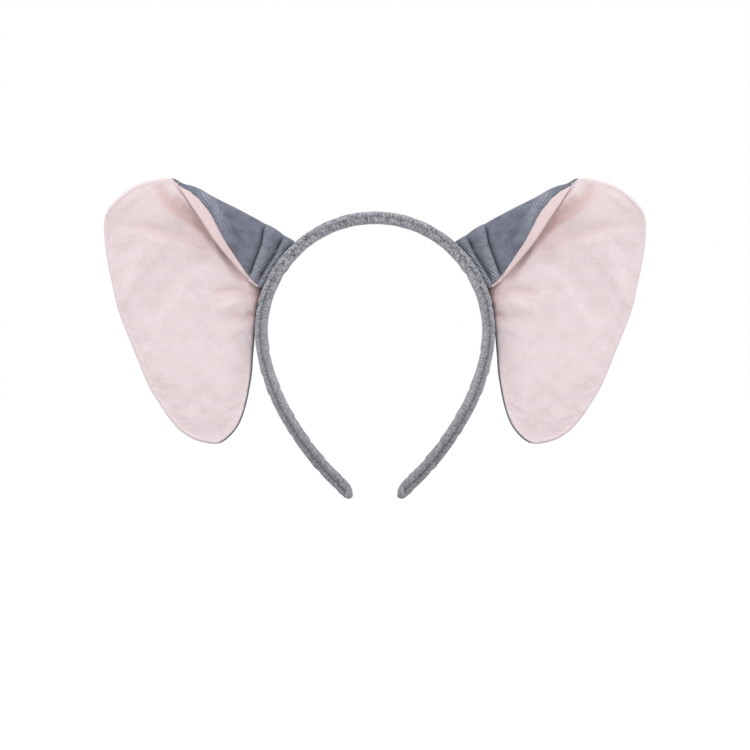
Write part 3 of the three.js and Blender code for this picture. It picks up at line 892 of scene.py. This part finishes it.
# Soft folds of the padded lobe: a line in (s, t), its height towards the viewer, its width, and
# how strongly painted shade darkens and reddens the plush along it.
LOBE_FOLDS = [
    ([(24, 21), (11.7, 16.4), (6.8, 14.4), (2.5, 12.4), (-2.4, 10.8)], -2.2, 2.2, 1.1),
    ([(15, 17.2), (5.7, 16), (1, 15.8), (-5, 14.8), (-9.9, 12.4), (-13.2, 10)], -2.2, 3.0, 1.3),
    ([(6, 13.4), (0.1, 12.3), (-6.5, 11.2)], 0.7, 1.8, 0.3),
    ([(9, 13.9), (4, 10.8), (-1, 8), (-5, 5.8), (-8, 4)], 2.5, 2.4, 0),
    ([(18, 20.5), (2, 21), (-12, 22.5)], 0.3, 3.6, 0),
    ([(24, 27), (12.7, 27.6), (3.7, 29.8), (-5.1, 32), (-13.3, 34)], -1.0, 2.9, 0.45),
    ([(26, 30), (8, 35), (-6, 37)], 0.4, 4.0, 0),
    ([(-18.4, 17.7), (-21.1, 24.2), (-22.2, 29.9), (-20.8, 35.3)], -0.7, 4.0, 0.2),
    ([(28, 21.5), (38, 27.5), (46, 32), (53, 36)], -1.1, 2.2, 1.1),
    ([(61, 38), (50, 41), (40, 47)], -1.4, 2.2, 0.5),
    ([(61, 42), (52, 47), (46, 55)], 1.1, 2.3, 0),
    ([(67, 47.5), (64.5, 48.2), (62.3, 48.8)], -1.9, 1.3, 1.2),
    ([(64, 51), (56, 54), (51, 61)], -1.2, 2.2, 0.4),
    ([(66, 55), (60, 60), (57, 68)], 0.6, 2.4, 0),
    ([(58, 35), (47, 35), (38, 38)], 0.7, 2.4, 0),
]


def lobe_relief(s, t):
    """The lobe's soft folds, positive towards the viewer."""
    height = np.zeros(len(s))
    for line, amount, width, _ in LOBE_FOLDS:
        away, along = line_distance(s, t, line)
        fade = np.sqrt(np.clip(np.sin(np.pi * (0.12 + 0.8 * along)), 0, 1))
        height += amount * fade * bell(away, width)
    return height * ease(t, 3, 9)


# Ramps over the ear's sheet, in mm: where something starts to change, and where it has changed.
FOLD_END = (-6, 9)  # s, from the fold's free end inwards
ROOT = (50, 62)  # s, towards the ear's root by the band
FLAP_FADE = (0.5, 6)  # -t, from the fold down the flap
HEM_FADE = (1, 4)
CREASE_FADE = (0.5, 5)
HEM_ROSE = 0.5
CREASE_WIDTH = 0.6


def crease_shade_and_hem_tint_at(s, t):
    """How far the plush turns to its darker pink, 0 to 1: painted shade in the lobe's creases, a
    rosier flap hem.
    """
    depth = np.zeros(len(s))
    for line, _, width, crease_shade_and_hem_tint in LOBE_FOLDS:
        away, along = line_distance(s, t, line)
        depth += crease_shade_and_hem_tint * (1 - 0.5 * along) * bell(away, 1.25 * width)
    hem = HEM_ROSE * ease(-t, *HEM_FADE)
    return np.clip(np.where(t < 0, hem, depth), 0, 1)


def shade_by_band(s, t):
    """How much the lobe's edge is shaded where it is tucked in beside the band, 0 to 1."""
    beside = ease(t, 24, 32) * (1 - 0.6 * ease(t, 44, 56)) * (1 - ease(t, 70, 90))
    return beside * bell(inner_edge(t) - s, mix(3.6, 1.9, ease(t, 30, 52)))


def pleat_crease_shade_at(s, t):
    """How deep in one of the pleats' creases a point lies, 0 to 1: where painted shade darkens the
    velour.
    """
    pleats = sum(bell(s - crease_at(crease, t), CREASE_WIDTH) for crease in CREASES)
    return np.where(t < 0, pleats * ease(-t, *CREASE_FADE), 0)


# The ribs, and the painted highlight with them, run past each crease by so much, over such a width,
# and along the outer ridge.
RIB_HIGHLIGHT_PLEATS = [(CREASES[0], 3.0, 2.8), (CREASES[1], 2.8, 2.6)]
RIB_HIGHLIGHT_RIDGE = 2.4
RIDGE_SHARE = 0.75
STROKES_FROM = 42  # the s past which they are the pleats' short strokes
STROKE_SLANT = 0.35


def ribs_and_ridge_highlight_at(s, t):
    """Where the flap's velour is crushed into ribs, with a painted highlight: on its outer ridge and
    its pleats.
    """
    away, _ = line_distance(s, -t, OUTER_RIDGE)
    on_pleats = np.maximum(
        *(bell(s - crease_at(crease, t) - past, width) for crease, past, width in RIB_HIGHLIGHT_PLEATS)
    )
    on_pleats = on_pleats * (0.35 + 0.65 * ease(-t, 4, 16))
    on_ridge = bell(away, RIB_HIGHLIGHT_RIDGE) * (1 - 0.8 * ease(s, 22, 32))
    return np.where(t < 2, np.clip(np.maximum(RIDGE_SHARE * on_ridge, on_pleats), 0, 1), 0)


def rib_turns(s, t):
    """Counts the ribs: along the outer ridge near the free edge, and along the pleats elsewhere."""
    away, _ = line_distance(s, -t, OUTER_RIDGE)
    below = np.interp(s, *np.transpose(OUTER_RIDGE)) > -t
    by_ridge = np.where(below, away, -away)
    return np.where(
        s < STROKES_FROM, by_ridge / RIB_SPACING, (s - STROKE_SLANT * t) / STROKE_SPACING
    )


def flap_relief(s, t):
    """The pleats' relief on the folded flap, positive towards the viewer, and how far they lean."""
    first, second = (crease_at(crease, t) for crease in CREASES)
    last = base_edge(np.clip(t, -FLAP_REACH, 0))
    u = np.clip((s - first) / (second - first), 0, 1)
    v = np.clip((s - second) / np.maximum(last - second, 1), 0, 1)
    outer_pleat = PLEAT_HEIGHTS[0] * u**0.5 * (1 - u) ** 0.7
    inner_pleat = PLEAT_HEIGHTS[1] * v**0.5 * (1 - v) ** 0.5
    ridges = np.where(s < second, outer_pleat, inner_pleat)
    drop = np.where(s < first, np.exp(-np.clip(first - s, 0, None) / PLEAT_FALL), 1)
    height = drop * PLEAT_FLOOR + ridges
    height -= sum(cut * bell(s - at, width) for at, (cut, width) in zip((first, second), CREASE_CUTS))
    lean = np.where(s < second, PLEAT_LEAN * np.sin(np.pi * u), np.sin(np.pi * v))
    for line, rise in ((OUTER_RIDGE, RIDGE_RISE), (OUTER_VALLEY, -VALLEY_DEPTH)):
        away, _ = line_distance(s, -t, line)
        height = height + rise * bell(away, RIDGE_WIDTH)
    fade = OVER_FOLD * ease(-t, -4, 2) + (1 - OVER_FOLD) * ease(-t, *FLAP_FADE)
    return height * fade, lean * fade


def flap_floor(s, t):
    """The flap's hidden side, which lies flat below its pleats."""
    near = ease(s, crease_at(CREASES[0], t) - 7, crease_at(CREASES[0], t) - 1)
    return (PLEAT_FLOOR - FLOOR_GAP) * near * ease(-t, *FLAP_FADE)


# The pillow's thickness, and the middle surface's folds.
PUFF = 13  # how far inside the rim an ear is full
# How far the pillow keeps its thickness, and the fold its depth, at the fold's end and the root.
ROOT_GATHER = 0.8
FOLD_END_GATHER = 0.62
ROOT_DEPTH = 2.7
FOLD_END_DEPTH = 0.6
FOLD_SAGS = [(1.0, -4.5, 4), (0.8, 14, 8)]  # the fold line's dips: drop, s and width
CREST_DROP = 0.5
TUCK_FADE = 2.6


def half_thickness(rim, s, t):
    """Half the padded ear's thickness: a round edge, fuller inside, drawn in at the ends."""
    radius = mix(EDGE_RADIUS, FLAP_EDGE_RADIUS, ease(-t, -2, 6))
    edge = np.sqrt(np.clip(radius**2 - np.clip(radius - rim, 0, None) ** 2, 0, None))
    swell = (EAR_HALF_THICKNESS - radius) * ease(rim, radius, PUFF)
    gather = mix(1.0, ROOT_GATHER, ease(s, *ROOT) * (1 - ease(t, 30, 45)))
    gather = gather * mix(FOLD_END_GATHER, 1, np.maximum(ease(s, *FOLD_END), ease(t, 5, 14)))
    return (edge + swell) * gather


def sheet(s, t):
    """The folded sheet's middle surface: q and y, and the unit normal on its grey side."""
    flap = t < 0
    radius = mix(FOLD_END_RADIUS, FOLD_RADIUS, ease(s, -5, 20))
    depth = mix(radius, ROOT_DEPTH, ease(s, 46, 64) * (1 - ease(t, 40, 60)))
    sag = sum(drop * bell(s - place, width) for drop, place, width in FOLD_SAGS)
    sag = sag + CREST_DROP * ease(s, 14, 24)
    sag = sag * (1 - ease(np.abs(t), 3, 12))
    depth = depth * mix(FOLD_END_DEPTH, 1, ease(s, *FOLD_END))
    tilt = np.where(flap, math.radians(FLAP_TILT) * (1 - ease(s, 20, 48)), 0)
    arc_end = math.pi / 2 - tilt
    turn = np.minimum(np.abs(t) / radius, arc_end)
    run = np.maximum(0, np.abs(t) - arc_end * radius)
    q = EAR_HALF_THICKNESS + sag + radius * (1 - np.cos(turn)) + run * np.sin(arc_end)
    away = depth * np.sin(turn) + run * np.cos(arc_end)
    rim = np.clip(1 - (s + 33) / 30, 0, 1) ** 2
    lean = LOBE_LEAN * ease(t, 20, 124) + RIM_CURL * rim * ease(t, 4, 30)
    tucked = TUCK * np.exp(-np.clip(inner_edge(t) - s, 0, None) / TUCK_FADE) * ease(t, 14, 30)
    y = np.where(flap, -away, away - lean + tucked * (1 - ease(t, 58, 78)))
    normal_q = -np.cos(turn) / radius
    normal_y = np.sin(turn) / depth
    size = np.hypot(normal_q, normal_y)
    return q, y, normal_q / size, np.where(flap, -1, 1) * normal_y / size


def placed(s, q, y, side):
    """Points in the frame, in mm, from the ear's own (s, q, y)."""
    x = FOLD_START_X - s * math.cos(FOLD_DOWN) + q * math.sin(FOLD_DOWN)
    z = FOLD_START_Z - s * math.sin(FOLD_DOWN) - q * math.cos(FOLD_DOWN)
    return np.stack([side * x, y, z], axis=1)


def formed(s, t, height, lean, side):
    """The sheet's points at a height off its middle surface, with its folds and pleats."""
    q, y, normal_q, normal_y = sheet(s, t)
    y = y - lobe_relief(s, t)
    return placed(s - lean, q + height * normal_q, y + height * normal_y, side)


# ---- the ears' cloth
# Numbers stored at each point of an ear, for its materials.
MARKS = {
    "ribs_and_ridge_highlight": ribs_and_ridge_highlight_at,
    "rib_turns": rib_turns,
    "pleat_crease_shade": pleat_crease_shade_at,
    "crease_shade_and_hem_tint": crease_shade_and_hem_tint_at,
    "shaded": shade_by_band,
}
CLOTH_SETTINGS = {
    "quality": 6,
    "mass": 0.25,
    "tension_stiffness": 12,
    "compression_stiffness": 12,
    "shear_stiffness": 6,
    "bending_stiffness": 0.8,
    "shrink_min": -0.012,
    "use_pressure": True,
    "uniform_pressure_force": 0.3,
}
SEAM_DEPTH = 0.3
SEAM_WIDTH = 0.3
CLOTH_FRAMES = 16
CLOTH_MOST = 1.6
HELD_RIM = (0.4, 2.6)  # the cloth is let go between these distances from its edge
HELD_FOLD = (4, 16)  # and from the fold


class Pillow:
    """One ear as a closed pillow: the grey back sheet, the pink front sheet, one shared edge."""

    def __init__(self, side):
        self.side = side
        self.outline, self.seam, flat, self.triangles = flat_ear()
        self.rim, _ = to_loop(flat, self.outline)
        s, t = flat.T
        self.flat = flat
        self.half = half_thickness(self.rim, s, t)
        edge = self.rim < 1e-3
        pleats, lean = flap_relief(s, t)
        floor = mix(pleats, flap_floor(s, t), ease(self.rim, 0.5, 3))
        back = formed(s, t, self.half + pleats, lean, side)
        front = formed(s, t, floor - self.half, lean * (1 - ease(self.rim, 0.5, 3)), side)
        count = len(flat)
        self.front_index = np.arange(count)
        self.front_index[~edge] = count + np.arange((~edge).sum())
        self.points = np.concatenate([back, front[~edge]])
        self.sheet_uv = np.concatenate([flat, flat[~edge]])
        self.faces = np.concatenate([self.triangles, self.front_index[self.triangles][:, ::-1]])
        self.colour_faces()
        self.edge = edge

    def colour_faces(self):
        """Which faces are pink, 1, or grey, 0: the seam lies a little to one side of the edge."""
        depths = seam_depths(self.outline)
        middle = self.flat[self.triangles].mean(axis=1)
        _, closest = to_loop(middle, self.outline)
        hem = ~inside(middle, self.seam)
        pink_hem = depths[closest] > 0
        back = np.where(hem & pink_hem, 1, 0)
        front = np.where(hem & ~pink_hem, 0, 1)
        self.pink = np.concatenate([back, front])

    def front(self):
        return self.points[self.front_index]

    def back(self):
        return self.points[: len(self.flat)]

    def relax(self):
        """The cloth pass: the sheets grow a little against their pinned edge, and puff softly.

        The edge, the fold and the flap are held, and no point moves more than CLOTH_MOST.
        """
        piece = new_object("cloth_pass", self.points, self.faces, self.sheet_uv)
        s, t = self.sheet_uv.T
        rim = np.concatenate([self.rim, self.rim[~self.edge]])
        held = np.maximum(1 - ease(rim, *HELD_RIM), 1 - ease(t, *HELD_FOLD))
        pins = piece.vertex_groups.new(name="held")
        for index, weight in enumerate(held):
            pins.add([index], float(weight), "REPLACE")
        cloth = piece.modifiers.new("cloth", "CLOTH")
        for key, value in CLOTH_SETTINGS.items():
            setattr(cloth.settings, key, value)
        cloth.settings.vertex_group_mass = pins.name
        cloth.settings.effector_weights.gravity = 0
        cloth.point_cache.frame_start = 1
        cloth.point_cache.frame_end = CLOTH_FRAMES
        for number in range(1, CLOTH_FRAMES + 1):
            bpy.context.scene.frame_set(number)
        ready = piece.evaluated_get(bpy.context.evaluated_depsgraph_get())
        moved = np.empty(len(self.points) * 3, np.float32)
        ready.data.vertices.foreach_get("co", moved)
        shift = moved.reshape(-1, 3) / MM - self.points
        bpy.data.objects.remove(piece, do_unlink=True)
        bpy.context.scene.frame_set(1)
        size = np.linalg.norm(shift, axis=1)
        capped = CLOTH_MOST * np.tanh(size / CLOTH_MOST) / np.maximum(size, 1e-6)
        self.points = self.points + shift * capped[:, None]

    def sew(self):
        """Draws the seam in, so that a groove runs along it."""
        _, closest = to_loop(self.flat, self.outline)
        depths = seam_depths(self.outline)[closest]
        away, _ = to_loop(self.flat, self.seam)
        groove = SEAM_DEPTH * bell(away, SEAM_WIDTH)
        towards = (self.front() - self.back()) / np.maximum(2 * self.half, 0.2)[:, None]
        back = self.back() + towards * np.where(depths > 0, groove, 0)[:, None]
        front = self.front() - towards * np.where(depths < 0, groove, 0)[:, None]
        self.points[self.front_index[~self.edge]] = front[~self.edge]
        self.points[: len(self.flat)][~self.edge] = back[~self.edge]

    def mirrored(self):
        """The same ear for the other side."""
        other = copy.copy(self)
        other.side = -self.side
        other.points = self.points * (-1, 1, 1)
        other.faces = self.faces[:, ::-1]
        return other

    def shell(self):
        """The whole pillow as one smooth object whose faces are marked pink or grey."""
        piece = new_object("ear_shell", self.points, self.faces, self.sheet_uv)
        piece.data.polygons.foreach_set("material_index", self.pink.astype(np.int32))
        s, t = self.sheet_uv.T
        for name, measure in MARKS.items():
            marks = piece.data.attributes.new(name, "FLOAT", "POINT")
            marks.data.foreach_set("value", measure(s, t).astype(np.float32))
        face_outwards(piece)
        smooth = piece.modifiers.new("smooth", "SUBSURF")
        smooth.levels = 1
        smooth.render_levels = 1
        smooth.use_limit_surface = False
        apply_modifiers(piece)
        return piece


def panel(name, shell, wanted):
    """The pink or the grey part of an ear's shell, with the cloth's thickness inside it."""
    piece = add_object(name, shell.data.copy())
    work = bmesh.new()
    work.from_mesh(piece.data)
    unwanted = [face for face in work.faces if face.material_index != wanted]
    bmesh.ops.delete(work, geom=unwanted, context="FACES")
    for face in work.faces:
        face.material_index = 0
    work.to_mesh(piece.data)
    work.free()
    thick = piece.modifiers.new("thick", "SOLIDIFY")
    thick.thickness = PANEL * MM
    thick.offset = -1
    thick.use_even_offset = False
    apply_modifiers(piece)
    return piece


def open_sides(triangles):
    """The triangles' sides that no second triangle shares."""
    sides = [(f[i], f[(i + 1) % 3]) for f in triangles for i in range(3)]
    known = set(sides)
    return [side for side in sides if side[::-1] not in known]


def filling(name, pillow):
    """The thin wadding inside an ear, clear of both panels."""
    inner = pillow.rim > WADDING_INSET
    kept = pillow.triangles[inner[pillow.triangles].all(axis=1)]
    used, kept = np.unique(kept, return_inverse=True)
    kept = kept.reshape(-1, 3)
    front = pillow.front()[used]
    back = pillow.back()[used]
    middle = (front + back) / 2
    half = np.maximum(np.linalg.norm(front - back, axis=1) / 2, 0.1)
    share = np.clip(1 - (PANEL + WADDING_GAP) / half, 0.08, 1)[:, None]
    points = np.concatenate([middle + (back - middle) * share, middle + (front - middle) * share])
    count = len(used)
    faces = [tuple(f) for f in kept] + [tuple(f[::-1] + count) for f in kept]
    faces += [(b, a, a + count, b + count) for a, b in open_sides(kept)]
    piece = new_object(name, points, faces, np.concatenate([pillow.flat[used]] * 2))
    face_outwards(piece)
    return piece


def base_stitches(name, side):
    """Hand stitches that whip the ear's base to the band, in front and behind."""
    paths = []
    along, radii, across = np.transpose(BASE_STITCH)
    for face in (-1, 1):
        for i, angle in enumerate(np.radians(np.linspace(*BASE_STITCH_ARC, BASE_STITCHES))):
            slant = math.radians(uneven(i, *BASE_SLANT))
            turns = angle + slant * along
            x = side * radii * np.sin(turns)
            z = radii * np.cos(turns) - INNER_RADIUS
            paths.append(np.stack([x, face * across, z], axis=1))
    return strands(name, paths, BASE_THREAD)


# ---- the band's pieces
def dressed(piece, material):
    """The piece, with its material."""
    piece.data.materials.clear()
    piece.data.materials.append(material)
    return piece


def flex(piece):
    """The piece, with its transform baked into its mesh."""
    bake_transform(piece)


def make_band(name, side):
    """One half of the band: its layers from outside to inside, and its stitches and turned end."""
    core_low = CLOTH + LAYER_GAP - CROWN_THICKNESS / 2
    core_high = core_low + CORE_THICKNESS
    foam_low = core_high + LAYER_GAP
    foam_high = CROWN_THICKNESS / 2 - CLOTH - LAYER_GAP
    cover = dressed(fabric_channel(f"{name}_cover", side, 1), BAND_VELOUR)
    lining = dressed(fabric_channel(f"{name}_lining", side, -1), BAND_VELOUR)
    core = dressed(strip(f"{name}_core", side, core_low, core_high, 0.9), CORE)
    foam = dressed(strip(f"{name}_foam", side, foam_low, foam_high, 0.5), FOAM)
    for piece, layer in ((cover, "cover"), (lining, "lining"), (core, "core"), (foam, "foam")):
        flex(piece)
        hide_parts(f"crown_{layer}", f"{name}_arm_{layer}")
    stitches = dressed(rim_stitches(f"{name}_rim_stitches", side), THREAD)
    flex(stitches)
    cap = dressed(tip_cap(f"{name}_turned_end", side), BAND_VELOUR)
    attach(cap, f"{name}_arm")
    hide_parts(f"{name}_tip_cap")
    sewn = dressed(base_stitches(f"{name}_ear_stitches", side), THREAD)
    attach(sewn, f"{name}_arm")
    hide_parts(f"{name}_base_stitches")


def make_ear(name, pillow):
    """One ear's two panels and its wadding."""
    shell = pillow.shell()
    front = dressed(panel(f"{name}_front_panel", shell, 1), PINK_PLUSH)
    back = dressed(panel(f"{name}_back_panel", shell, 0), EAR_VELOUR)
    wadding = dressed(filling(f"{name}_filling", pillow), WADDING)
    bpy.data.objects.remove(shell, do_unlink=True)
    for piece, layer in ((front, "ear_front"), (back, "ear_back"), (wadding, "ear_wadding")):
        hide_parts(f"{name}_{layer}")
        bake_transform(piece)


# ---- the studio
def make_studio():
    """A plain pale floor and a white surround; soft light from the front and a little above."""
    lowest = cad_box[0].z
    bpy.ops.mesh.primitive_plane_add(size=12, location=(0, 0, lowest - 0.001))
    floor = bpy.context.object
    floor.name = "floor"
    floor.visible_diffuse = False
    made = bpy.data.materials.new("pale_floor")
    made.use_nodes = True
    look = {"Base Color": (0.1, 0.1, 0.1, 1), "Roughness": 1.0, "Specular IOR Level": 0.0}
    look.update({"Emission Color": (1, 1, 1, 1), "Emission Strength": 1.0})
    set_inputs(made.node_tree.nodes["Principled BSDF"], look)
    floor.data.materials.append(made)
    make_surround()
    for name, (place, size, power) in LAMPS.items():
        make_lamp(name, place, size, power)


def make_surround():
    """A white world to look at, which lights the object a good deal less than it shows."""
    world = bpy.data.worlds.new("studio")
    bpy.context.scene.world = world
    world.use_nodes = True
    tree = world.node_tree
    white = tree.nodes["Background"]
    set_inputs(white, {"Color": (1, 1, 1, 1)})
    rays = tree.nodes.new("ShaderNodeLightPath")
    strength = tree.nodes.new("ShaderNodeMapRange")
    set_inputs(strength, {"To Min": AMBIENT, "To Max": 1.0})
    tree.links.new(rays.outputs["Is Camera Ray"], strength.inputs["Value"])
    tree.links.new(strength.outputs["Result"], white.inputs["Strength"])


def make_lamp(name, place, size, power):
    """A square soft lamp, aimed at the middle of the object."""
    lamp = bpy.data.lights.new(name, "AREA")
    lamp.size = size
    lamp.energy = power
    lamp_object = add_object(name, lamp)
    lamp_object.location = place
    aim = Vector((0, 0, -0.06)) - Vector(place)
    lamp_object.rotation_euler = aim.to_track_quat("-Z", "Y").to_euler()


def make_camera():
    """A long lens, square on to the front, that shows VIEW_WIDTH from side to side."""
    camera = bpy.data.cameras.new("camera")
    camera.sensor_width = SENSOR_WIDTH
    camera.lens = SENSOR_WIDTH * VIEW_DISTANCE / VIEW_WIDTH
    camera_object = add_object("camera", camera)
    camera_object.location = (0, -VIEW_DISTANCE * MM, VIEW_CENTRE * MM)
    camera_object.rotation_euler = (math.pi / 2, 0, 0)
    bpy.context.scene.camera = camera_object
    bpy.context.scene.view_settings.view_transform = "Standard"


make_camera()
make_studio()
for side_name, side_sign in SIDES.items():
    make_band(side_name, side_sign)
ear = Pillow(SIDES["left"])
ear.relax()
ear.sew()
make_ear("left", ear)
make_ear("right", ear.mirrored())
